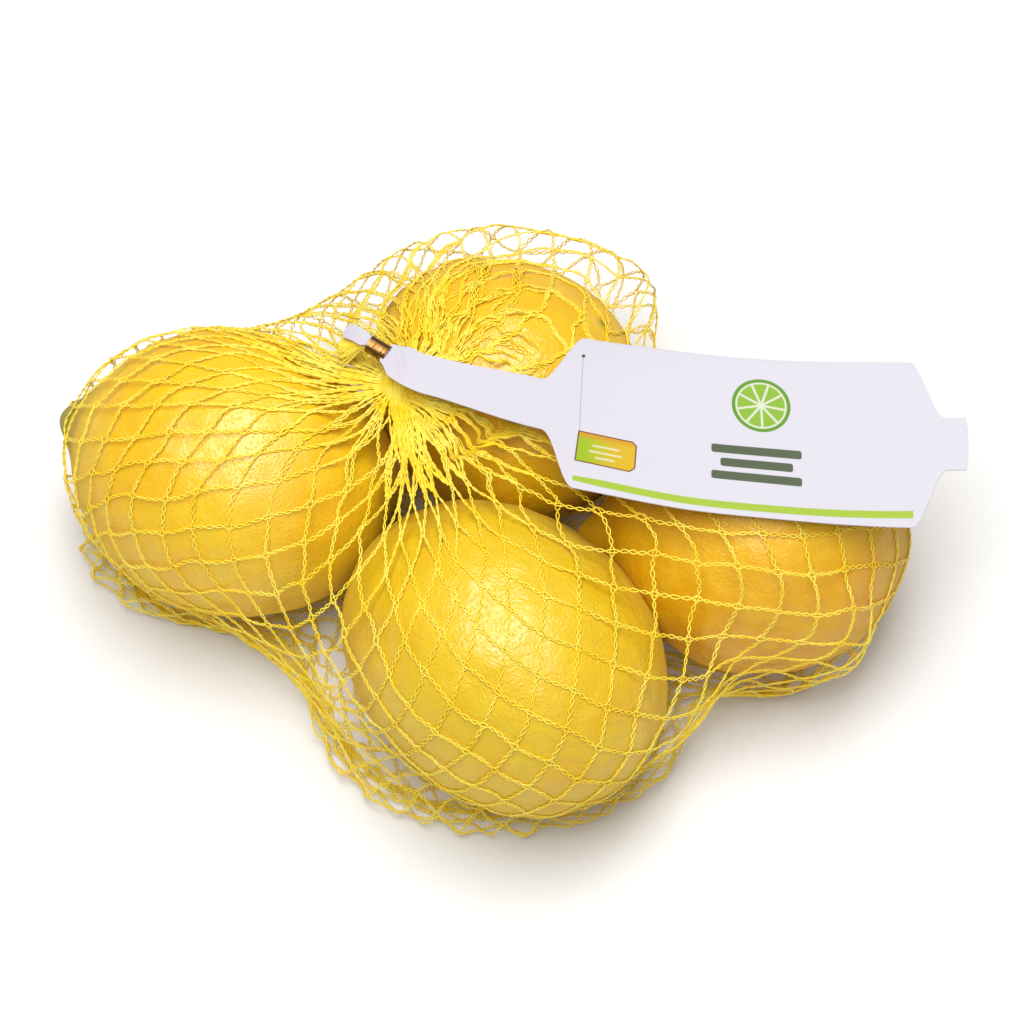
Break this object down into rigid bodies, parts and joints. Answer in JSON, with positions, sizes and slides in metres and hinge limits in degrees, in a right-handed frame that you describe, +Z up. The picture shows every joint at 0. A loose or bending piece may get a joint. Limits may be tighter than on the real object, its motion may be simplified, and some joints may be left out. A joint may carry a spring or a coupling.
{
  "type": "net of lemons",
  "caption": "Net bag of lemons lying on its side, gathered and closed with a metal clip that also holds a plastic band label.",
  "frame": {"origin": "middle of the footprint on the ground the bag lies on", "axes": "+X along the bag's longest side towards the label's loose end, +Y to the back, +Z up"},
  "size_m": [0.1888, 0.139, 0.0654],
  "materials": {
    "net_and_fruit": "satin, yellow plastic net over waxy lemons",
    "clip_metal": "bright, copper coloured",
    "label_film": "satin white film, printed"
  },
  "bodies": {
    "root": {"net_bag": "net_and_fruit", "clip_upper": "clip_metal", "clip_lower": "clip_metal", "label": "label_film"}
  },
  "joints": []
}
